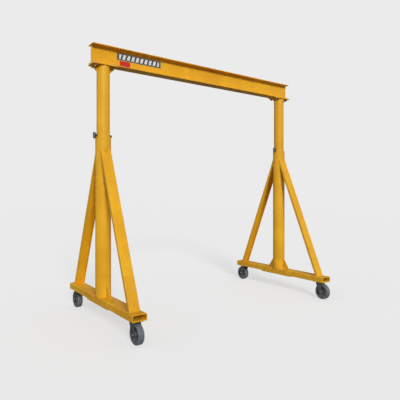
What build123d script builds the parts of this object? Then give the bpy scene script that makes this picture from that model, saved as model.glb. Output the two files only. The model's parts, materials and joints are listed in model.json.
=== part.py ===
"""Portable gantry crane: an I-beam on two pinned, height-adjustable A-frames with swivel casters.

Frame: X runs along the beam, Y along the base channels, Z up. The origin is on the floor,
under the middle of the span. Everything is in millimetres. "Left" is -X, "front" is -Y.
"""
import os
from math import atan2, cos, pi, sin

from build123d import *

os.makedirs("parts", exist_ok=True)

# ---------------------------------------------------------------- driving dimensions
# Beam: rolled wide-flange section
beam_length = 3048.0
beam_depth = 206.8
flange_width = 133.4
flange_thickness = 8.4
web_thickness = 5.8
root_radius = 9.0
end_overhang = 140.0  # beam end beyond the axis of each column

# Saddle plates on the mast tops, and what holds the beam to them
saddle_setback = 0.3  # plate's end, back from the beam's end
saddle_ledge = 15.85  # plate beyond each side of the flange
saddle_thickness = 12.7
saddle_corner = 12.0
gusset_thickness = 9.5
gusset_nose = 12.0  # blunt tip of every gusset
saddle_gusset_drop = 62.0
saddle_gusset_margin = 9.05  # plate beyond the gusset's tip
beam_bolt_diameter = 16.0
beam_bolt_flats = 24.0
beam_bolt_head = 10.0
beam_nut_height = 13.0
beam_washer_diameter = 30.0
beam_washer_thickness = 3.0
beam_bolt_end = 9.0  # thread that stands out of the nut
beam_bolt_chamfer = 1.33
beam_bolt_end_distance = 31.7  # from the saddle plate's end
beam_bolt_side_distance = 22.25  # from the flange's side

# Columns: mast pipe sliding in a sleeve pipe, with guide rings between them
mast_diameter = 141.3
mast_wall = 6.6
mast_above_pin = 757.3
mast_below_pin = 963.0
guide_space = 6.4  # between the mast and the sleeve's bore
guide_height = 50.0
sleeve_wall = 7.1
sleeve_length = 1732.0

# Height pins
pin_diameter = 25.4
pin_tip = 15.85  # what stands out beyond the sleeve
pin_chamfer = 3.2
hole_pitch = 152.4
hole_count = 5
pin_collar_rim = 7.3  # collar beyond the pin's side
pin_collar_thickness = 6.0
handle_rim = 1.3  # handle bar beyond the pin's side
handle_length = 66.0
handle_rounding = 4.7
handle_seat = 3.0  # how far the handle bar is let into the collar

# Base channels, legs down
base_width = 152.4
base_depth = 69.2
base_wall = 7.9
base_bend = 4.1  # radius inside the bend
base_length = 1690.0
doubler_length = 570.0
doubler_thickness = 12.0
doubler_corner = 10.0
foot_gusset_reach = 110.0
foot_gusset_rise = 150.0

# Braces: formed channels, web outwards
brace_width = 115.0
brace_depth = 38.0
brace_wall = 6.4
brace_bend = 3.6  # radius inside the bend
brace_end_distance = 93.0  # brace's outer face, at the base, from the base channel's end
brace_below_rim = 160.0  # from the sleeve's top down to where the brace's outer face meets it

# Casters
wheel_diameter = 200.0
tread_width = 60.0
tread_depth = 17.0
tread_corner = 9.0
wheel_clearance = 6.0  # between the wheel's top and the fork's crown
caster_side_gap = 11.15  # between the caster plate and the base channel's legs
caster_plate_length = 158.8
caster_plate_thickness = 6.4
caster_plate_corner = 8.0
caster_bolt_side_distance = 14.3  # from the caster plate's side
caster_bolt_end_distance = 12.7  # from the caster plate's end
caster_bolt_diameter = 12.7
caster_bolt_flats = 19.0
caster_bolt_head = 8.0
caster_nut_height = 11.0
caster_bolt_end = 4.0  # thread that stands out of the nut
kingpin_end_distance = 100.0  # from the base channel's end
kingpin_diameter = 16.0
kingpin_head_diameter = 24.0
kingpin_head_height = 7.0
caster_trail = 40.0
caster_recess = 2.0  # top of the caster above the lower edge of the base channel
mount_plate_length = 203.2
mount_plate_thickness = 12.7
ball_diameter = 8.0
ball_circle = 76.0
ball_spacing = 1.3  # least gap from ball to ball
race_width = 18.0
race_floor = 1.8  # metal under and over the balls
race_gap = 1.2
crown_thickness = 7.0
crown_margin = 1.0  # crown beyond the lower race
race_skirt = 4.0  # how far the lower race reaches down beside the crown
fork_leg_thickness = 6.4
fork_tip_radius = 24.0
fork_bend = 8.0
axle_diameter = 12.7
axle_flats = 19.0
axle_head = 8.0
axle_nut_height = 11.0
axle_end = 4.0  # thread that stands out of the nut
bushing_wall = 3.15
roller_diameter = 5.7
roller_play = 0.35  # between a roller and each surface it runs on
roller_spacing = 2.2  # least gap from roller to roller
hub_wall = 11.1
hub_stand = 3.6  # hub beyond each side of the tread
wheel_web = 14.0
wheel_fillet = 4.67
rim_depth = 10.0
rim_inset = 1.4  # rim inside each side of the tread
thrust_washer_thickness = 1.4
thrust_washer_diameter = 40.0

# Plates on the beam's web
placard_length = 562.0
placard_height = 81.0
placard_corner = 4.0
placard_thickness = 1.6
placard_left = 303.0  # from the beam's left end
placard_below_top = 35.0  # from the beam's top face
tag_length = 128.0
tag_height = 62.0
tag_corner = 10.0
tag_left = 336.0
tag_below_placard = 6.0

# Clearances
running_gap = 0.3  # between pieces that move against each other
fit_gap = 0.05  # between a shank and its hole, or a ring and its seat
slide_gap = 0.5  # between mast or sleeve and guide ring
bolt_gap = 0.75  # radial, around a clamping bolt
tiny = 0.01  # for telling places apart

# ---------------------------------------------------------------- heights, from the floor up
wheel_radius = wheel_diameter / 2
crown_bottom = wheel_diameter + wheel_clearance
crown_top = crown_bottom + crown_thickness
ball_z = crown_top + race_floor + ball_diameter / 2
lower_race_top = ball_z - race_gap / 2
upper_race_bottom = ball_z + race_gap / 2
caster_plate_bottom = ball_z + ball_diameter / 2 + race_floor
caster_top = caster_plate_bottom + caster_plate_thickness
mount_plate_top = caster_top + mount_plate_thickness
base_bottom = caster_top - caster_recess
base_top = base_bottom + base_depth
sleeve_top = base_top + sleeve_length
pin_z = sleeve_top + running_gap + pin_diameter / 2
mast_top = pin_z + mast_above_pin
mast_bottom = pin_z - mast_below_pin
beam_bottom = mast_top + saddle_thickness
beam_top = beam_bottom + beam_depth
beam_middle = (beam_bottom + beam_top) / 2

# ---------------------------------------------------------------- sizes and places that follow
column_x = beam_length / 2 - end_overhang
mast_radius = mast_diameter / 2
sleeve_radius = mast_radius + guide_space + sleeve_wall
saddle_length = 2 * (end_overhang - saddle_setback)
saddle_width = flange_width + 2 * saddle_ledge
saddle_gusset_reach = saddle_length / 2 - mast_radius - saddle_gusset_margin
beam_bolt_spacing = saddle_length - 2 * beam_bolt_end_distance
beam_bolt_gauge = flange_width - 2 * beam_bolt_side_distance
pin_collar_diameter = pin_diameter + 2 * pin_collar_rim
handle_diameter = pin_diameter + 2 * handle_rim
brace_foot = base_length / 2 - brace_end_distance
brace_rise = sleeve_length - brace_below_rim
kingpin_position = base_length / 2 - kingpin_end_distance
mount_plate_position = (base_length - mount_plate_length) / 2  # its outer end flush with the base's
caster_plate_width = base_width - 2 * (base_wall + caster_side_gap)
caster_bolt_width = caster_plate_width - 2 * caster_bolt_side_distance
caster_bolt_length = caster_plate_length - 2 * caster_bolt_end_distance
ball_count = int(pi * ball_circle / (ball_diameter + ball_spacing))
race_outside = ball_circle + race_width
race_inside = ball_circle - race_width
crown_length = race_outside + 2 * crown_margin
bushing_diameter = axle_diameter + 2 * bushing_wall
hub_bore = bushing_diameter + 2 * (roller_diameter + 2 * roller_play)
hub_diameter = hub_bore + 2 * hub_wall
roller_circle = (hub_bore + bushing_diameter) / 2
roller_count = int(pi * roller_circle / (roller_diameter + roller_spacing))
hub_length = tread_width + 2 * hub_stand
fork_gap = hub_length + 2 * (thrust_washer_thickness + 2 * running_gap)
fork_outside = fork_gap / 2 + fork_leg_thickness
rim_radius = wheel_radius - tread_depth
rim_width = tread_width - 2 * rim_inset

sides = {"left": -column_x, "right": column_x}
ends = {"front": -1, "rear": 1}


def save(piece, name):
    """Label a finished piece and write it as a STEP file."""
    piece.part.label = name
    export_step(piece.part, f"parts/{name}.step")


def draw_channel(section, width, depth, wall, bend):
    """Draw a formed channel in the open sketch: web along y = 0, legs towards -y."""
    half = width / 2
    Polygon(
        (-half, -depth), (wall - half, -depth), (wall - half, -wall), (half - wall, -wall),
        (half - wall, -depth), (half, -depth), (half, 0), (-half, 0),
        align=None,
    )
    fillet(section.vertices().group_by(Axis.Y)[1], bend)
    fillet(section.vertices().group_by(Axis.Y)[-1], bend + wall)


def draw_gusset(corner_x, corner_y, reach, rise):
    """Draw a triangular gusset with blunt tips in the open sketch, from its right-angled corner."""
    nose_x = gusset_nose if reach > 0 else -gusset_nose
    nose_y = gusset_nose if rise > 0 else -gusset_nose
    outline = [(corner_x, corner_y), (corner_x + reach, corner_y), (corner_x + reach, corner_y + nose_y),
               (corner_x + nose_x, corner_y + rise), (corner_x, corner_y + rise)]
    if reach * rise < 0:
        outline.reverse()
    Polygon(*outline, align=None)


def hexagon(flats):
    """Draw a hexagon of this size across its flats in the open sketch."""
    RegularPolygon(flats / 2, 6, major_radius=False)


def ring(outside, inside):
    """Draw a ring of these two diameters in the open sketch."""
    Circle(outside / 2)
    Circle(inside / 2, mode=Mode.SUBTRACT)


def axle_plane(x, y, z=wheel_radius):
    """A plane across a wheel's axle."""
    return Plane(origin=(x, y, z), x_dir=(0, 1, 0), z_dir=(1, 0, 0))


# ---------------------------------------------------------------- beam
bolt_places = [(s * column_x + u * beam_bolt_spacing / 2, v * beam_bolt_gauge / 2)
               for s in (-1, 1) for u in (-1, 1) for v in (-1, 1)]

with BuildPart() as beam:
    with BuildSketch(Plane.YZ) as section:
        with Locations((0, beam_middle)):
            Rectangle(web_thickness, beam_depth)
        with Locations((0, beam_bottom + flange_thickness / 2), (0, beam_top - flange_thickness / 2)):
            Rectangle(flange_width, flange_thickness)
        roots = section.vertices().filter_by(lambda v: abs(abs(v.X) - web_thickness / 2) < tiny
                                             and abs(v.Y - beam_middle) < beam_depth / 2 - tiny)
        fillet(roots, root_radius)
    extrude(amount=beam_length / 2, both=True)
    with BuildSketch(Plane.XY.offset(beam_bottom)):
        with Locations(*bolt_places):
            Circle(beam_bolt_diameter / 2 + bolt_gap)
    extrude(amount=flange_thickness, mode=Mode.SUBTRACT)
save(beam, "beam")

with BuildPart() as beam_bolts:
    with BuildSketch(Plane.XY.offset(beam_bottom + flange_thickness)):
        with Locations(*bolt_places):
            hexagon(beam_bolt_flats)
    extrude(amount=beam_bolt_head)
    with BuildSketch(Plane.XY.offset(beam_bottom + flange_thickness)):
        with Locations(*bolt_places):
            Circle(beam_bolt_diameter / 2)
    extrude(amount=-(flange_thickness + saddle_thickness + beam_washer_thickness
                     + beam_nut_height + beam_bolt_end))
    chamfer(beam_bolts.faces().sort_by(Axis.Z)[:len(bolt_places)].edges(), beam_bolt_chamfer)
save(beam_bolts, "beam_bolts")

with BuildPart() as beam_nuts:
    with BuildSketch(Plane.XY.offset(mast_top)):
        with Locations(*bolt_places):
            Circle(beam_washer_diameter / 2)
    extrude(amount=-beam_washer_thickness)
    with BuildSketch(Plane.XY.offset(mast_top - beam_washer_thickness)):
        with Locations(*bolt_places):
            hexagon(beam_bolt_flats)
    extrude(amount=-beam_nut_height)
    with BuildSketch(Plane.XY.offset(mast_top)):
        with Locations(*bolt_places):
            Circle(beam_bolt_diameter / 2 + fit_gap)
    extrude(amount=-(beam_washer_thickness + beam_nut_height), mode=Mode.SUBTRACT)
save(beam_nuts, "beam_nuts")

placard_x = placard_left + placard_length / 2 - beam_length / 2
with BuildPart() as placard:
    with BuildSketch(Plane.XZ.offset(web_thickness / 2)):
        with Locations((placard_x, beam_top - placard_below_top - placard_height / 2)):
            RectangleRounded(placard_length, placard_height, placard_corner)
    extrude(amount=placard_thickness)
save(placard, "placard")

tag_x = tag_left + tag_length / 2 - beam_length / 2
tag_top = beam_top - placard_below_top - placard_height - tag_below_placard
with BuildPart() as tag:
    with BuildSketch(Plane.XZ.offset(web_thickness / 2)):
        with Locations((tag_x, tag_top - tag_height / 2)):
            RectangleRounded(tag_length, tag_height, tag_corner)
    extrude(amount=placard_thickness)
save(tag, "tag")

# ---------------------------------------------------------------- masts, saddles and pins
with BuildPart() as saddle_plates:
    with BuildSketch(Plane.XY.offset(mast_top)):
        with Locations((-column_x, 0), (column_x, 0)):
            RectangleRounded(saddle_length, saddle_width, saddle_corner)
        with Locations(*bolt_places):
            Circle(beam_bolt_diameter / 2 + bolt_gap, mode=Mode.SUBTRACT)
    extrude(amount=saddle_thickness)
save(saddle_plates, "saddle_plates")

with BuildPart() as saddle_gussets:
    with BuildSketch(Plane.XZ):
        for x in sides.values():
            for side in (-1, 1):
                draw_gusset(x + side * mast_radius, mast_top, side * saddle_gusset_reach, -saddle_gusset_drop)
    extrude(amount=gusset_thickness / 2, both=True)
save(saddle_gussets, "saddle_gussets")

with BuildPart() as mast_guides:
    with BuildSketch(Plane.XY.offset(mast_bottom)):
        with Locations((-column_x, 0), (column_x, 0)):
            ring(2 * (sleeve_radius - sleeve_wall - slide_gap), mast_diameter + 2 * fit_gap)
    extrude(amount=guide_height)
save(mast_guides, "mast_guides")

for side, x in sides.items():
    with BuildPart() as mast:
        with BuildSketch(Plane.XY.offset(mast_bottom)):
            with Locations((x, 0)):
                ring(mast_diameter, mast_diameter - 2 * mast_wall)
        extrude(amount=mast_above_pin + mast_below_pin)
        with BuildSketch(Plane.YZ.offset(x)):
            with Locations(*[(0, pin_z - n * hole_pitch) for n in range(hole_count)]):
                Circle(pin_diameter / 2 + running_gap)
        extrude(amount=mast_diameter, both=True, mode=Mode.SUBTRACT)
    save(mast, f"{side}_mast")

    collar_x = x - sleeve_radius - running_gap - pin_collar_thickness
    handle_x = collar_x - handle_diameter / 2 + handle_seat
    with BuildPart() as pin:
        with BuildSketch(Plane.YZ.offset(handle_x)):
            with Locations((0, pin_z)):
                Circle(pin_diameter / 2)
        extrude(amount=x + sleeve_radius + pin_tip - handle_x)
        chamfer(pin.faces().sort_by(Axis.X)[-1].edges(), pin_chamfer)
        with BuildSketch(Plane.YZ.offset(collar_x)):
            with Locations((0, pin_z)):
                Circle(pin_collar_diameter / 2)
        extrude(amount=pin_collar_thickness)
        with BuildSketch(Plane.XY.offset(pin_z)):
            with Locations((handle_x, 0)):
                Circle(handle_diameter / 2)
        extrude(amount=handle_length / 2, both=True)
        fillet(pin.faces().sort_by(Axis.Z)[-1].edges(), handle_rounding)
        fillet(pin.faces().sort_by(Axis.Z)[0].edges(), handle_rounding)
    save(pin, f"{side}_pin")

# ---------------------------------------------------------------- A-frames
lean = atan2(brace_foot - sleeve_radius, brace_rise)
brace_run = (brace_foot - sleeve_radius / 2) / sin(lean)  # to half-way into the sleeve, before the cope
brace_tail = brace_depth  # below the base's top, before it is cut level

for side, x in sides.items():
    with BuildPart() as base_channel:
        with BuildSketch(Plane(origin=(x, 0, base_top), x_dir=(1, 0, 0), z_dir=(0, -1, 0))) as section:
            draw_channel(section, base_width, base_depth, base_wall, base_bend)
        extrude(amount=base_length / 2, both=True)
    save(base_channel, f"{side}_base_channel")

    with BuildPart() as doubler:
        with BuildSketch(Plane.XY.offset(base_bottom)):
            with Locations((x, 0)):
                RectangleRounded(base_width, doubler_length, doubler_corner)
        extrude(amount=-doubler_thickness)
    save(doubler, f"{side}_foot_doubler")

    with BuildPart() as sleeve:
        with BuildSketch(Plane.XY.offset(base_top)):
            with Locations((x, 0)):
                ring(2 * sleeve_radius, 2 * (sleeve_radius - sleeve_wall))
        extrude(amount=sleeve_length)
    save(sleeve, f"{side}_sleeve")

    with BuildPart() as sleeve_guide:
        with BuildSketch(Plane.XY.offset(sleeve_top - running_gap)):
            with Locations((x, 0)):
                ring(2 * (sleeve_radius - sleeve_wall - fit_gap), mast_diameter + 2 * slide_gap)
        extrude(amount=-guide_height)
    save(sleeve_guide, f"{side}_sleeve_guide")

    with BuildPart() as foot_gussets:
        with BuildSketch(Plane.YZ.offset(x)):
            for end in ends.values():
                draw_gusset(end * sleeve_radius, base_top, end * foot_gusset_reach, foot_gusset_rise)
        extrude(amount=gusset_thickness / 2, both=True)
    save(foot_gussets, f"{side}_foot_gussets")

    for end_name, end in ends.items():
        foot = Plane(origin=(x, end * brace_foot, base_top), x_dir=(end, 0, 0),
                     z_dir=(0, -end * sin(lean), cos(lean)))
        with BuildPart() as brace:
            with BuildSketch(foot.offset(-brace_tail)) as section:
                draw_channel(section, brace_width, brace_depth, brace_wall, brace_bend)
            extrude(amount=brace_tail + brace_run)
            split(bisect_by=Plane.XY.offset(base_top), keep=Keep.TOP)
            with Locations((x, 0, base_top)):
                Cylinder(sleeve_radius, 2 * beam_top, mode=Mode.SUBTRACT)
        save(brace, f"{side}_{end_name}_brace")

# ---------------------------------------------------------------- casters
kingpins = [kingpin_position * end for end in ends.values()]


def caster_bolt_places(x):
    """The four bolt places of both casters under the base at x."""
    return [(x + u * caster_bolt_width / 2, y + v * caster_bolt_length / 2)
            for y in kingpins for u in (-1, 1) for v in (-1, 1)]


for side, x in sides.items():
    king_places = [(x, y) for y in kingpins]

    with BuildPart() as mount_plates:
        with BuildSketch(Plane.XY.offset(caster_top)):
            with Locations(*[(x, end * mount_plate_position) for end in ends.values()]):
                Rectangle(base_width - 2 * base_wall, mount_plate_length)
            with Locations(*caster_bolt_places(x)):
                Circle(caster_bolt_diameter / 2 + bolt_gap, mode=Mode.SUBTRACT)
        extrude(amount=mount_plate_thickness)
    save(mount_plates, f"{side}_mount_plates")

    with BuildPart() as caster_plates:
        with BuildSketch(Plane.XY.offset(caster_plate_bottom)):
            with Locations(*king_places):
                RectangleRounded(caster_plate_width, caster_plate_length, caster_plate_corner)
        extrude(amount=caster_plate_thickness)
        with BuildSketch(Plane.XY.offset(upper_race_bottom)):
            with Locations(*king_places):
                ring(race_outside, race_inside)
        extrude(amount=caster_plate_bottom - upper_race_bottom)
        with BuildSketch(Plane.XY.offset(upper_race_bottom)):
            with Locations(*caster_bolt_places(x)):
                Circle(caster_bolt_diameter / 2 + bolt_gap)
            with Locations(*king_places):
                Circle(kingpin_diameter / 2 + fit_gap)
        extrude(amount=caster_top - upper_race_bottom, mode=Mode.SUBTRACT)
        with Locations(*[(x, y, ball_z) for y in kingpins]):
            Torus(ball_circle / 2, ball_diameter / 2 + fit_gap, mode=Mode.SUBTRACT)
    save(caster_plates, f"{side}_caster_plates")

    with BuildPart() as caster_bolts:
        with BuildSketch(Plane.XY.offset(caster_plate_bottom)):
            with Locations(*caster_bolt_places(x)):
                hexagon(caster_bolt_flats)
        extrude(amount=-caster_bolt_head)
        with BuildSketch(Plane.XY.offset(caster_plate_bottom)):
            with Locations(*caster_bolt_places(x)):
                Circle(caster_bolt_diameter / 2)
        extrude(amount=mount_plate_top + caster_nut_height + caster_bolt_end - caster_plate_bottom)
        with BuildSketch(Plane.XY.offset(mount_plate_top)):
            with Locations(*caster_bolt_places(x)):
                hexagon(caster_bolt_flats)
                Circle(caster_bolt_diameter / 2 + fit_gap, mode=Mode.SUBTRACT)
        extrude(amount=caster_nut_height)
    save(caster_bolts, f"{side}_caster_bolts")

    with BuildPart() as kingpin_set:
        with BuildSketch(Plane.XY.offset(caster_top)):
            with Locations(*king_places):
                Circle(kingpin_diameter / 2)
        extrude(amount=crown_bottom - running_gap - caster_top)
        with BuildSketch(Plane.XY.offset(crown_bottom - running_gap)):
            with Locations(*king_places):
                Circle(kingpin_head_diameter / 2)
        extrude(amount=-kingpin_head_height)
    save(kingpin_set, f"{side}_kingpins")

    with BuildPart() as swivel_balls:
        for y in kingpins:
            with Locations((x, y, ball_z)):
                with PolarLocations(ball_circle / 2, ball_count):
                    Sphere(ball_diameter / 2)
    save(swivel_balls, f"{side}_swivel_balls")

    for end_name, end in ends.items():
        king_y = end * kingpin_position
        axle_y = end * (kingpin_position + caster_trail)
        axle = Axis((x, axle_y, wheel_radius), (1, 0, 0))

        with BuildPart() as fork:
            with BuildSketch(Plane.XY.offset(crown_bottom)):
                with Locations((x, king_y)):
                    RectangleRounded(2 * fork_outside, crown_length, fork_bend)
            extrude(amount=crown_thickness)
            with BuildSketch(Plane.YZ.offset(x - fork_outside)) as leg:
                with Locations((axle_y, wheel_radius)):
                    Circle(fork_tip_radius)
                with Locations((king_y, crown_top - crown_thickness / 2)):
                    Rectangle(crown_length - 2 * fork_bend, crown_thickness)
                make_hull()
            extrude(amount=fork_leg_thickness)
            extrude(leg.sketch.moved(Location((2 * fork_outside - fork_leg_thickness, 0, 0))),
                    amount=fork_leg_thickness)
            folds = fork.edges().filter_by(Axis.Y).group_by(Axis.Z)[-1]
            fillet(folds, fork_leg_thickness)
            with BuildSketch(Plane.XY.offset(crown_top - race_skirt)):
                with Locations((x, king_y)):
                    ring(race_outside, race_inside)
            extrude(amount=lower_race_top - crown_top + race_skirt)
            with Locations((x, king_y, ball_z)):
                Torus(ball_circle / 2, ball_diameter / 2 + running_gap, mode=Mode.SUBTRACT)
            with BuildSketch(Plane.XY.offset(crown_bottom)):
                with Locations((x, king_y)):
                    Circle(kingpin_diameter / 2 + running_gap)
            extrude(amount=lower_race_top - crown_bottom, mode=Mode.SUBTRACT)
            with BuildSketch(axle_plane(x, axle_y)):
                Circle(axle_diameter / 2 + fit_gap)
            extrude(amount=fork_outside, both=True, mode=Mode.SUBTRACT)
        save(fork, f"{side}_{end_name}_fork")

        with BuildPart() as axle_bolt:
            with BuildSketch(axle_plane(x - fork_outside, axle_y)):
                hexagon(axle_flats)
            extrude(amount=-axle_head)
            with BuildSketch(axle_plane(x - fork_outside, axle_y)):
                Circle(axle_diameter / 2)
            extrude(amount=2 * fork_outside + axle_nut_height + axle_end)
            with BuildSketch(axle_plane(x + fork_outside, axle_y)):
                hexagon(axle_flats)
                Circle(axle_diameter / 2 + fit_gap, mode=Mode.SUBTRACT)
            extrude(amount=axle_nut_height)
        save(axle_bolt, f"{side}_{end_name}_axle_bolt")

        with BuildPart() as bushing:
            with BuildSketch(axle_plane(x, axle_y)):
                ring(bushing_diameter, axle_diameter + 2 * fit_gap)
            extrude(amount=fork_gap / 2, both=True)
        save(bushing, f"{side}_{end_name}_axle_bushing")

        with BuildPart() as bearing:
            with BuildSketch(axle_plane(x, axle_y)):
                with PolarLocations(roller_circle / 2, roller_count):
                    Circle(roller_diameter / 2)
            extrude(amount=hub_length / 2 - running_gap, both=True)
            for face_side in (-1, 1):
                with BuildSketch(axle_plane(x + face_side * hub_length / 2, axle_y)):
                    ring(thrust_washer_diameter, bushing_diameter + 2 * running_gap)
                extrude(amount=face_side * thrust_washer_thickness)
        save(bearing, f"{side}_{end_name}_roller_bearing")

        through_axle = Plane(origin=(x, axle_y, wheel_radius), x_dir=(1, 0, 0), z_dir=(0, -1, 0))
        with BuildPart() as wheel_core:
            with BuildSketch(through_axle) as section:
                with Locations((0, (hub_bore + hub_diameter) / 4)):
                    Rectangle(hub_length, (hub_diameter - hub_bore) / 2)
                with Locations((0, (rim_radius + hub_bore / 2) / 2)):
                    Rectangle(wheel_web, rim_radius - hub_bore / 2)
                with Locations((0, rim_radius - rim_depth / 2)):
                    Rectangle(rim_width, rim_depth)
                inner = section.vertices().filter_by(lambda v: abs(abs(v.X) - wheel_web / 2) < tiny)
                fillet(inner, wheel_fillet)
            revolve(axis=axle)
        save(wheel_core, f"{side}_{end_name}_wheel")

        with BuildPart() as tyre:
            with BuildSketch(through_axle) as section:
                with Locations((0, rim_radius + fit_gap + (tread_depth - fit_gap) / 2)):
                    Rectangle(tread_width, tread_depth - fit_gap)
                fillet(section.vertices().group_by(Axis.Y)[-1], tread_corner)
            revolve(axis=axle)
        save(tyre, f"{side}_{end_name}_tyre")
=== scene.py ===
"""Portable gantry crane: paint, plating, rubber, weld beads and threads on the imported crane.

Metres; X along the beam, Y along the base channels, Z up, origin on the floor under mid-span.
"""

import json
from math import acos, cos, pi, radians, sin, sqrt

import bpy
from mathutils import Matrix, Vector


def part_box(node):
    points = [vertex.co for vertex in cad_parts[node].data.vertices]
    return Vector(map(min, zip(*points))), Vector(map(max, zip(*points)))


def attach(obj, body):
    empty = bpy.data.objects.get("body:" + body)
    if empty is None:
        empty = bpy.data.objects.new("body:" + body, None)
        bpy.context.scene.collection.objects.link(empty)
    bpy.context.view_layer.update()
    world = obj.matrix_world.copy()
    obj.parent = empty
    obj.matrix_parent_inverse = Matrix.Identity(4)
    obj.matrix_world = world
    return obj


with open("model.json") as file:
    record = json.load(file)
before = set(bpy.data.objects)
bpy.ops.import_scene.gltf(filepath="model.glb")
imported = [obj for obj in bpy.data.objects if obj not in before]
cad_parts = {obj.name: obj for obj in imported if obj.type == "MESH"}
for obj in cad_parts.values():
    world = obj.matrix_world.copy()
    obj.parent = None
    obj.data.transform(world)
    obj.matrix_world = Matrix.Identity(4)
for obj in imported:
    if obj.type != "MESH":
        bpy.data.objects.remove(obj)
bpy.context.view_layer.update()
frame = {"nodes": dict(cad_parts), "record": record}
nodes = frame["nodes"]
slot_of = {part["node"]: part["material_slot"] for part in frame["record"]["subparts"]}


# ---------------------------------------------------------------- places read from the frame
def middle(node):
    """The middle of a node's box."""
    low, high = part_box(node)
    return [(a + b) / 2 for a, b in zip(low, high)]


def low(node, axis):
    """A node's lowest place along X, Y or Z."""
    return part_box(node)[0]["XYZ".index(axis)]


def high(node, axis):
    """A node's highest place along X, Y or Z."""
    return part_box(node)[1]["XYZ".index(axis)]


SIDES = ("left", "right")
column_x = {side: middle(f"{side}_sleeve")[0] for side in SIDES}
sleeve_radius = (high("left_sleeve", "X") - low("left_sleeve", "X")) / 2
mast_radius = (high("left_mast", "X") - low("left_mast", "X")) / 2
base_top = high("left_base_channel", "Z")
base_half_width = (high("left_base_channel", "X") - low("left_base_channel", "X")) / 2
base_bottom = low("left_base_channel", "Z")
sleeve_top = high("left_sleeve", "Z")
saddle_bottom = low("saddle_plates", "Z")
beam_bottom = low("beam", "Z")
flange_half = high("beam", "Y")


# ---------------------------------------------------------------- camera
LENS = 37.16
EYE = (-3.2036, -4.2569, 1.4481)
LOOK_TURN = radians(53.66)  # from +X towards +Y
RISE_SHIFT = -0.0240

bpy.ops.object.camera_add(location=EYE, rotation=(pi / 2, 0, LOOK_TURN - pi / 2))
camera = bpy.context.object
camera.name = "camera"
camera.data.lens = LENS
camera.data.sensor_width = 36
camera.data.shift_y = RISE_SHIFT
camera.data.clip_end = 200
bpy.context.scene.camera = camera


# ---------------------------------------------------------------- shader maths
class Value:
    """A shader socket. Sums, products and powers of values add the Math nodes that work them out."""

    def __init__(self, finish, socket):
        self.finish = finish
        self.socket = socket

    def maths(self, operation, *values):
        return self.finish.node("ShaderNodeMath", {"operation": operation}, dict(enumerate(values)))

    def __add__(self, other):
        return self.maths("ADD", self, other)

    def __sub__(self, other):
        return self.maths("SUBTRACT", self, other)

    def __rsub__(self, other):
        return self.maths("SUBTRACT", other, self)

    def __mul__(self, other):
        return self.maths("MULTIPLY", self, other)

    def __truediv__(self, other):
        return self.maths("DIVIDE", self, other)

    def __gt__(self, other):
        return self.maths("GREATER_THAN", self, other)

    def __lt__(self, other):
        return self.maths("LESS_THAN", self, other)

    __radd__ = __add__
    __rmul__ = __mul__

    def size(self):
        """Its value without the sign."""
        return self.maths("ABSOLUTE", self)

    def part(self):
        """What is left of it after its whole number."""
        return self.maths("FRACT", self)

    def least(self, other):
        return self.maths("MINIMUM", self, other)

    def most(self, other):
        return self.maths("MAXIMUM", self, other)

    def ease(self, start, end):
        """0 below start, 1 above end and smooth between. start may be above end."""
        return self.finish.node("ShaderNodeMapRange", {"interpolation_type": "SMOOTHSTEP"},
                                {"Value": self, "From Min": start, "From Max": end})


class Finish:
    """A material while it is made."""

    def __init__(self, name, **plain):
        self.material = bpy.data.materials.new(name)
        self.material.use_nodes = True
        self.tree = self.material.node_tree
        self.shader = self.tree.nodes["Principled BSDF"]
        for socket, value in plain.items():
            self.shader.inputs[socket.replace("_", " ")].default_value = value

    def node(self, kind, settings=None, sockets=None, output=0):
        """Add a node: its settings first, then the values or links of its sockets."""
        node = self.tree.nodes.new(kind)
        for key, value in (settings or {}).items():
            if key == "stops":
                for stop in range(len(value) - 2):
                    node.color_ramp.elements.new(0.5)
                for element, (place, colour) in zip(node.color_ramp.elements, value):
                    element.position = place
                    element.color = (*colour, 1)
            else:
                setattr(node, key, value)
        for key, value in (sockets or {}).items():
            self.feed(node.inputs[key], value)
        return Value(self, node.outputs[output])

    def feed(self, socket, value):
        if isinstance(value, Value):
            self.tree.links.new(value.socket, socket)
        else:
            socket.default_value = value

    def place(self, stretch=(1, 1, 1)):
        """Object coordinates, in metres."""
        spot = self.node("ShaderNodeTexCoord", output=3)
        return self.node("ShaderNodeMapping", {}, {"Vector": spot, "Scale": stretch})

    def along(self, axis):
        """Where a point lies along X, Y or Z, in metres."""
        spot = self.node("ShaderNodeTexCoord", output=3)
        return self.node("ShaderNodeSeparateXYZ", {}, {0: spot}, output="XYZ".index(axis))

    def noise(self, per_metre, detail=3.0, rough=0.55, stretch=(1, 1, 1)):
        """Cloudy noise, from about 0.3 to 0.7, with this many clouds to the metre."""
        return self.node("ShaderNodeTexNoise", {}, {"Vector": self.place(stretch), "Scale": per_metre,
                                                    "Detail": detail, "Roughness": rough})

    def blend(self, amount, under, over):
        """One colour over another by amount."""
        return self.node("ShaderNodeMix", {"data_type": "RGBA"}, {0: amount, 6: under, 7: over}, output=2)

    def bump(self, height, distance, strength=1.0, under=None):
        """A bump of this height map, in metres, over an earlier one if there is one."""
        sockets = {"Height": height, "Distance": distance, "Strength": strength}
        if under:
            sockets["Normal"] = under
        return self.node("ShaderNodeBump", {}, sockets)

    def use(self, **links):
        """Link values to the shader's own sockets."""
        for socket, value in links.items():
            self.feed(self.shader.inputs[socket.replace("_", " ")], value)
        return self.material


def shade(red, green, blue):
    """A colour given as it looks on a screen, 0 to 255, as the linear one that the shader wants."""
    def linear(level):
        level /= 255
        return level / 12.92 if level <= 0.04045 else ((level + 0.055) / 1.055) ** 2.4
    return (linear(red), linear(green), linear(blue), 1.0)


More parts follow.
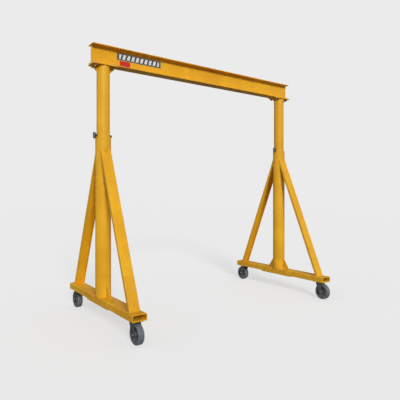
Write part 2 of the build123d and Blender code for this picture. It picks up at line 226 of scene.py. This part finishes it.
# ---------------------------------------------------------------- finishes
YELLOW = shade(240, 180, 22)
YELLOW_DEEP = shade(228, 164, 14)
YELLOW_PALE = shade(246, 190, 36)
GRIME = shade(96, 72, 38)
CHIPPED_RIM = 0.004  # how far chips reach in from the flange edges
CHIPPED_FOOT = 0.012  # how far they reach up the base channels
TRACK_HEIGHTS = (0.006, 0.011)  # above the beam's underside, either side of the lower flange's top
TRACK_ENDS = (1.25, 1.18)  # where a trolley's rubbing fades out, from mid-span
BAR_PITCH = 0.0555  # of the placard's bars
BARE_STEEL = shade(120, 116, 110)
ZINC = shade(168, 168, 166)
ZINC_DARK = tuple(level * 0.62 for level in ZINC[:3]) + (1,)


def yellow_paint(name, worn=None):
    """Sprayed enamel on mill steel. worn(finish) gives where it rubs through, 0 to 1, if it does."""
    paint = Finish(name, IOR=1.5, Specular_IOR_Level=0.35)
    clouds = paint.noise(2.2, 4)
    colour = paint.blend(clouds.ease(0.35, 0.65), YELLOW_DEEP, YELLOW)
    colour = paint.blend(paint.noise(9, 5, 0.6).ease(0.52, 0.75) * 0.5, colour, YELLOW_PALE)
    height = paint.along("Z")
    dust = height.ease(0.9, 0.05) * paint.noise(14, 6, 0.65).ease(0.35, 0.7) * 0.28
    colour = paint.blend(dust, colour, GRIME)
    rough = 0.42 + paint.noise(30, 4) * 0.16 + dust * 0.5
    peel = paint.bump(paint.noise(420, 2), 0.0004, 0.25)
    skin = paint.bump(paint.noise(45, 5, 0.6), 0.0016, 0.3, peel)
    if worn is None:
        return paint.use(Base_Color=colour, Roughness=rough, Normal=skin)
    rub = worn(paint)
    colour = paint.blend(rub, colour, BARE_STEEL)
    skin = paint.bump(1 - rub, 0.0006, 0.6, skin)
    return paint.use(Base_Color=colour, Roughness=rough * (1 - rub) + rub * 0.42,
                     Metallic=rub * 0.85, Normal=skin)


def chips(paint, nearness):
    """Small paint chips where nearness, 0 to 1, is high."""
    return (paint.noise(130, 5, 0.7) + nearness * 0.16).ease(0.755, 0.775)


def beam_wear(paint):
    """Chips on the flange edges, and rubbing where trolley wheels run on the lower flange."""
    across = paint.along("Y").size()
    edge = across.ease(flange_half - CHIPPED_RIM, flange_half)
    height = paint.along("Z")
    flange_top = (height < beam_bottom + TRACK_HEIGHTS[1]) * (height > beam_bottom + TRACK_HEIGHTS[0])
    between_columns = paint.along("X").size().ease(*TRACK_ENDS)
    run = flange_top * between_columns * across.ease(0.018, 0.028) * across.ease(0.062, 0.05)
    scuff = paint.noise(26, 6, 0.7, (0.12, 1, 1)).ease(0.52, 0.72) * run * 0.55
    return chips(paint, edge).most(scuff)


def base_wear(paint):
    """Chips along the lower edges of the base channels."""
    return chips(paint, paint.along("Z").ease(base_bottom + CHIPPED_FOOT, base_bottom))


def mast_wear(paint):
    """Long scratches down the part of the mast that slides in the sleeve."""
    scratch = paint.noise(60, 4, 0.7, (1, 1, 0.03)).ease(0.6, 0.7)
    return scratch * paint.along("Z").ease(sleeve_top + 0.02, sleeve_top - 0.05) * 0.7


def plated_steel(name):
    """Zinc plate: a faint patchy spangle, fine scratches and yellow overspray in patches."""
    zinc = Finish(name)
    spangle = zinc.node("ShaderNodeTexVoronoi", {}, {"Vector": zinc.place(), "Scale": 160.0}, output=1)
    grey = zinc.node("ShaderNodeSeparateColor", {}, {0: spangle})
    patch = grey * 0.5 + zinc.noise(60, 4) * 0.5
    colour = zinc.blend(patch, ZINC_DARK, ZINC)
    soil = zinc.noise(25, 5, 0.65).ease(0.5, 0.8) * 0.35
    colour = zinc.blend(soil, colour, shade(70, 66, 60))
    overspray = zinc.noise(90, 4, 0.6).ease(0.5, 0.6)
    colour = zinc.blend(overspray * 0.85, colour, YELLOW_DEEP)
    scratches = zinc.noise(380, 3, 0.6, (1, 0.08, 1))
    return zinc.use(Base_Color=colour, Roughness=0.38 + patch * 0.16 + soil * 0.3,
                    Metallic=0.9 - overspray * 0.85, Normal=zinc.bump(scratches, 0.0003, 0.3))


def dark_steel(name):
    """Blackened steel, worn to bare metal in patches."""
    steel = Finish(name, Metallic=0.75)
    wear = steel.noise(70, 5, 0.7).ease(0.55, 0.72) * 0.55
    colour = steel.blend(wear, shade(92, 96, 98), shade(150, 150, 146))
    return steel.use(Base_Color=colour, Roughness=0.5 - wear * 0.15,
                     Normal=steel.bump(steel.noise(240, 3), 0.0004, 0.35))


def cast_wheel(name):
    """Cast iron wheel centre, painted dark grey, grainy."""
    iron = Finish(name, Metallic=0.35)
    grain = iron.noise(320, 3, 0.7)
    colour = iron.blend(iron.noise(40, 4), shade(88, 90, 94), shade(124, 126, 130))
    return iron.use(Base_Color=colour, Roughness=0.45 + grain * 0.15, Normal=iron.bump(grain, 0.0005, 0.5))


def tread_rubber(name):
    """Moulded dark rubber, dusty where it rolls."""
    rubber = Finish(name, Coat_Weight=0.25, Coat_Roughness=0.25)
    dust = rubber.noise(38, 6, 0.65).ease(0.42, 0.72)
    colour = rubber.blend(dust * 0.45, shade(100, 107, 110), shade(140, 144, 144))
    return rubber.use(Base_Color=colour, Roughness=0.34 + dust * 0.3,
                      Normal=rubber.bump(rubber.noise(300, 4), 0.0004, 0.4))


def bright_steel(name):
    """Ground bearing steel."""
    steel = Finish(name, Metallic=1.0)
    return steel.use(Base_Color=shade(190, 190, 188), Roughness=0.18 + steel.noise(90, 3) * 0.12)


def nylon(name):
    """Cream guide nylon, a little soiled."""
    plastic = Finish(name)
    soil = plastic.noise(40, 5).ease(0.45, 0.75) * 0.4
    colour = plastic.blend(soil, shade(222, 216, 198), shade(150, 140, 118))
    return plastic.use(Base_Color=colour, Roughness=0.5 + soil * 0.2)


def placard_face(name):
    """Charcoal enamel plate with a pale border and a row of slanted pale bars."""
    plate = Finish(name)
    centre_x, _, centre_z = middle("placard")
    half_x = (high("placard", "X") - low("placard", "X")) / 2
    half_z = (high("placard", "Z") - low("placard", "Z")) / 2
    across = plate.along("X") - centre_x
    up = plate.along("Z") - centre_z
    inset_x = half_x - across.size()
    inset_z = half_z - up.size()
    inset = inset_x.least(inset_z)
    border = (inset > 0.005) * (inset < 0.0075)
    slant = ((across - up * 0.3) / BAR_PITCH).part()
    bars = (slant > 0.20) * (slant < 0.80) * (inset_x > 0.024) * (inset_z > 0.0145)
    pale = (bars * 0.94).most(border * 0.55)
    fade = plate.noise(60, 4).ease(0.3, 0.8) * 0.12
    colour = plate.blend(pale, shade(62, 66, 70), shade(236, 236, 234))
    colour = plate.blend(fade, colour, GRIME)
    return plate.use(Base_Color=colour, Roughness=0.3 + fade)


def tag_face(name):
    """Red enamel plate."""
    plate = Finish(name)
    fade = plate.noise(70, 4).ease(0.35, 0.75)
    colour = plate.blend(fade * 0.3, shade(206, 40, 30), shade(176, 30, 26))
    return plate.use(Base_Color=colour, Roughness=0.3 + fade * 0.12)


finishes = {
    "yellow_paint": yellow_paint("yellow_paint"),
    "zinc_steel": plated_steel("zinc_steel"),
    "dark_steel": dark_steel("dark_steel"),
    "wheel_iron": cast_wheel("wheel_iron"),
    "tread_rubber": tread_rubber("tread_rubber"),
    "bearing_steel": bright_steel("bearing_steel"),
    "guide_nylon": nylon("guide_nylon"),
    "placard_face": placard_face("placard_face"),
    "tag_face": tag_face("tag_face"),
}
own_finish = {
    "beam": yellow_paint("beam_paint", beam_wear),
    "left_mast": yellow_paint("mast_paint", mast_wear),
}
own_finish["right_mast"] = own_finish["left_mast"]
own_finish["left_base_channel"] = own_finish["right_base_channel"] = yellow_paint("base_paint", base_wear)

for name, node in nodes.items():
    for place in node.material_slots:
        place.material = own_finish.get(name, finishes[slot_of[name]])


# ---------------------------------------------------------------- round ridges
def resample(corners, pitch):
    """Even steps of about this length along a line of straight runs."""
    points = [Vector(corners[0])]
    for start, end in zip(corners, corners[1:]):
        start, end = Vector(start), Vector(end)
        steps = max(1, round((end - start).length / pitch))
        points += [start.lerp(end, step / steps) for step in range(1, steps + 1)]
    return points


def ridges(name, body, finish, radius, ripple, lines):
    """Round ridges along these lines, narrower at every other point, as one piece that rides on a body."""
    curve = bpy.data.curves.new(name, "CURVE")
    curve.dimensions = "3D"
    curve.bevel_depth = radius
    curve.bevel_resolution = 1
    curve.use_fill_caps = True
    for points in lines:
        run = curve.splines.new("POLY")
        run.points.add(len(points) - 1)
        for number, (point, spot) in enumerate(zip(run.points, points)):
            point.co = (*spot, 1)
            point.radius = 1 - ripple * (number % 2)
    ridge = bpy.data.objects.new(name, curve)
    bpy.context.collection.objects.link(ridge)
    bpy.ops.object.select_all(action="DESELECT")
    ridge.select_set(True)
    bpy.context.view_layer.objects.active = ridge
    bpy.ops.object.convert(target="MESH")
    ridge = bpy.context.object
    bpy.ops.object.shade_smooth()
    ridge.data.materials.append(finish)
    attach(ridge, body)


# ---------------------------------------------------------------- weld beads
BEAD = 0.0042  # radius of a bead
RIPPLE = 0.14  # how much a bead narrows between its ripples
RIPPLE_PITCH = 0.0032
ARC_STEPS = 40
COPE_STEPS = 12  # on each side of a brace's middle
BRACE_DEPTH = 0.038
BRACE_CORNER = 0.010  # radius outside its bends
BRACE_BELOW_RIM = 0.160  # from the sleeve's top down to where the brace's outer face meets it

gusset_half = (high("left_foot_gussets", "X") - low("left_foot_gussets", "X")) / 2
gusset_top = high("left_foot_gussets", "Z")
gusset_tip = high("left_foot_gussets", "Y")
saddle_gusset_half = high("saddle_gussets", "Y")
saddle_gusset_bottom = low("saddle_gussets", "Z")
saddle_gusset_reach = high("saddle_gussets", "X") - column_x["right"]
brace_half = (high("left_rear_brace", "X") - low("left_rear_brace", "X")) / 2
brace_web_half = brace_half - BRACE_CORNER
brace_foot = high("left_rear_brace", "Y")
brace_slope = (sleeve_top - BRACE_BELOW_RIM - base_top) / (brace_foot - sleeve_radius)  # rise over run
brace_thick = BRACE_DEPTH * sqrt(1 + 1 / brace_slope ** 2)  # measured level


def weld(name, body, lines):
    """Rippled fillet welds along these lines."""
    stepped = [resample(corners, RIPPLE_PITCH / 2) for corners in lines]
    ridges(name, body, weld_paint, BEAD, RIPPLE, stepped)


def arc(centre_x, radius, height, start, end):
    """Points on a level arc about a column's axis, from one angle to another."""
    turns = [start + (end - start) * step / ARC_STEPS for step in range(ARC_STEPS + 1)]
    return [(centre_x + radius * cos(turn), radius * sin(turn), height) for turn in turns]


def stand_out(radius, across):
    """How far a pipe's wall stands out, this far from its middle line."""
    return sqrt(radius ** 2 - across ** 2)


def sleeve_foot(x, end, hand):
    """A quarter of the sleeve's foot, from the base channel's side to the gusset."""
    start = acos((base_half_width - BEAD) / sleeve_radius)
    stop = acos((gusset_half + BEAD) / sleeve_radius)
    if hand < 0:
        start, stop = pi - start, pi - stop
    return [(px, end * py, pz) for px, py, pz in arc(x, sleeve_radius, base_top, start, stop)]


def foot_gusset(x, end, hand):
    """One side of a foot gusset, down the sleeve and out along the base channel."""
    beside = x + hand * gusset_half
    sleeve_side = end * stand_out(sleeve_radius, gusset_half)
    return [(beside, sleeve_side, gusset_top), (beside, sleeve_side, base_top),
            (beside, end * gusset_tip, base_top)]


def brace_end(x, end):
    """Round the outside of a brace's foot."""
    leg = end * (brace_foot - brace_thick)
    corner = end * (brace_foot - BRACE_CORNER)
    return [(x - brace_half, leg, base_top), (x - brace_half, corner, base_top),
            (x - brace_web_half, end * brace_foot, base_top),
            (x + brace_web_half, end * brace_foot, base_top),
            (x + brace_half, corner, base_top), (x + brace_half, leg, base_top)]


def brace_cope(x, end):
    """Where a brace meets the sleeve: up one leg, over the web and down the other leg."""
    web = []
    for step in range(-COPE_STEPS, COPE_STEPS + 1):
        across = brace_web_half * step / COPE_STEPS
        out = stand_out(sleeve_radius, across)
        web.append((x + across, end * out, base_top + (brace_foot - out) * brace_slope))
    leg = stand_out(sleeve_radius, brace_half)
    leg_top = base_top + (brace_foot - BRACE_CORNER - leg) * brace_slope
    leg_bottom = base_top + (brace_foot - brace_thick - leg) * brace_slope
    return [(x - brace_half, end * leg, leg_bottom), (x - brace_half, end * leg, leg_top), *web,
            (x + brace_half, end * leg, leg_top), (x + brace_half, end * leg, leg_bottom)]


def frame_welds(x):
    """Where one A-frame is welded: sleeve foot, gussets, and both ends of the braces."""
    lines = []
    for end in (-1, 1):
        for hand in (-1, 1):
            lines += [sleeve_foot(x, end, hand), foot_gusset(x, end, hand)]
        lines += [brace_end(x, end), brace_cope(x, end)]
    return lines


def saddle_gusset(x, hand, side):
    """One side of a saddle gusset, up the mast and out along the saddle plate."""
    beside = side * saddle_gusset_half
    mast_side = x + hand * stand_out(mast_radius, saddle_gusset_half)
    return [(mast_side, beside, saddle_gusset_bottom), (mast_side, beside, saddle_bottom),
            (x + hand * saddle_gusset_reach, beside, saddle_bottom)]


def bridge_welds():
    """Where the masts and their gussets are welded to the saddle plates."""
    lines = []
    clear = (saddle_gusset_half + BEAD) / mast_radius  # angle that a gusset takes up
    for x in column_x.values():
        lines.append(arc(x, mast_radius, saddle_bottom, clear, pi - clear))
        lines.append(arc(x, mast_radius, saddle_bottom, pi + clear, 2 * pi - clear))
        for hand in (-1, 1):
            lines += [saddle_gusset(x, hand, side) for side in (-1, 1)]
    return lines


weld_paint = yellow_paint("weld_paint")
for side in SIDES:
    weld(f"{side}_frame_welds", f"{side}_frame", frame_welds(column_x[side]))
weld("bridge_welds", "bridge", bridge_welds())


# ---------------------------------------------------------------- threads on the beam bolts
THREAD_PITCH = 0.002
THREAD_RIDGE = 0.0006
THREAD_CHAMFER = 0.0018  # plain end of a bolt
THREAD_STEPS = 16  # points to a turn
thread_bottom = low("beam_bolts", "Z") + THREAD_CHAMFER
thread_top = low("beam_nuts", "Z")


def bolt_ends():
    """The middle and the radius of each beam bolt's lower end."""
    rims = {}
    for vertex in nodes["beam_bolts"].data.vertices:
        x, y, z = vertex.co
        if z < thread_bottom:
            rims.setdefault((x > 0, abs(x) > column_x["right"], y > 0), []).append((x, y))
    for rim in rims.values():
        across = [x for x, y in rim]
        along = [y for x, y in rim]
        radius = (max(across) - min(across)) / 2
        yield (min(across) + max(across)) / 2, (min(along) + max(along)) / 2, radius


def thread(x, y, radius):
    """A helix up a bolt's end, as far as its nut."""
    steps = int(THREAD_STEPS * (thread_top - thread_bottom) / THREAD_PITCH)
    points = []
    for step in range(steps + 1):
        turn = 2 * pi * step / THREAD_STEPS
        height = thread_bottom + THREAD_PITCH * step / THREAD_STEPS
        points.append((x + radius * cos(turn), y + radius * sin(turn), height))
    return points


ridges("beam_bolt_threads", "bridge", finishes["zinc_steel"], THREAD_RIDGE, 0,
       [thread(*place) for place in bolt_ends()])


# ---------------------------------------------------------------- studio
BACKDROP = 0.83  # brightness of the plain backdrop
SKY = 0.36  # what lights the crane from all round and above
GROUND = 0.14  # what undersides see
FLOOR_GLOW = 0.54  # keeps the shadows on the floor faint
FLOOR_GREY = (0.38, 0.38, 0.38, 1)
SUNS = (  # name, height, turn from straight in front towards -X, strength, softness; angles in degrees
    ("key_sun", 25, 19, 2.15, 15),
    ("left_sun", 8, 112, 0.45, 60),
    ("right_sun", 8, -68, 0.30, 60),
)


def stage():
    """A pale floor that meets an even pale backdrop, a soft key light in front and two weak fills."""
    bpy.ops.mesh.primitive_plane_add(size=160, location=(0, 0, 0))
    floor = bpy.context.object
    floor.name = "floor"
    pale = Finish("floor_pale", Roughness=1.0, Emission_Color=(1, 1, 1, 1), Emission_Strength=FLOOR_GLOW)
    floor.data.materials.append(pale.use(Base_Color=FLOOR_GREY))
    floor.visible_diffuse = False
    floor.visible_glossy = False

    world = bpy.data.worlds.new("sky")
    world.use_nodes = True
    link, add = world.node_tree.links.new, world.node_tree.nodes.new
    view = add("ShaderNodeTexCoord")
    split = add("ShaderNodeSeparateXYZ")
    fade = add("ShaderNodeMapRange")
    fade.inputs["From Min"].default_value = -0.12
    fade.inputs["From Max"].default_value = 0.0
    fade.inputs["To Min"].default_value = GROUND
    fade.inputs["To Max"].default_value = SKY
    path = add("ShaderNodeLightPath")
    seen = add("ShaderNodeMix")
    seen.inputs["B"].default_value = BACKDROP
    background = world.node_tree.nodes["Background"]
    background.inputs["Color"].default_value = (1, 1, 1, 1)
    link(view.outputs["Generated"], split.inputs[0])
    link(split.outputs["Z"], fade.inputs["Value"])
    link(path.outputs["Is Camera Ray"], seen.inputs["Factor"])
    link(fade.outputs[0], seen.inputs["A"])
    link(seen.outputs[0], background.inputs["Strength"])
    bpy.context.scene.world = world

    for name, height, turn, strength, softness in SUNS:
        bpy.ops.object.light_add(type="SUN", rotation=(pi / 2 - radians(height), 0, -radians(turn)))
        sun = bpy.context.object
        sun.name = name
        sun.data.energy = strength
        sun.data.angle = radians(softness)


bpy.context.scene.view_settings.view_transform = "Standard"
stage()
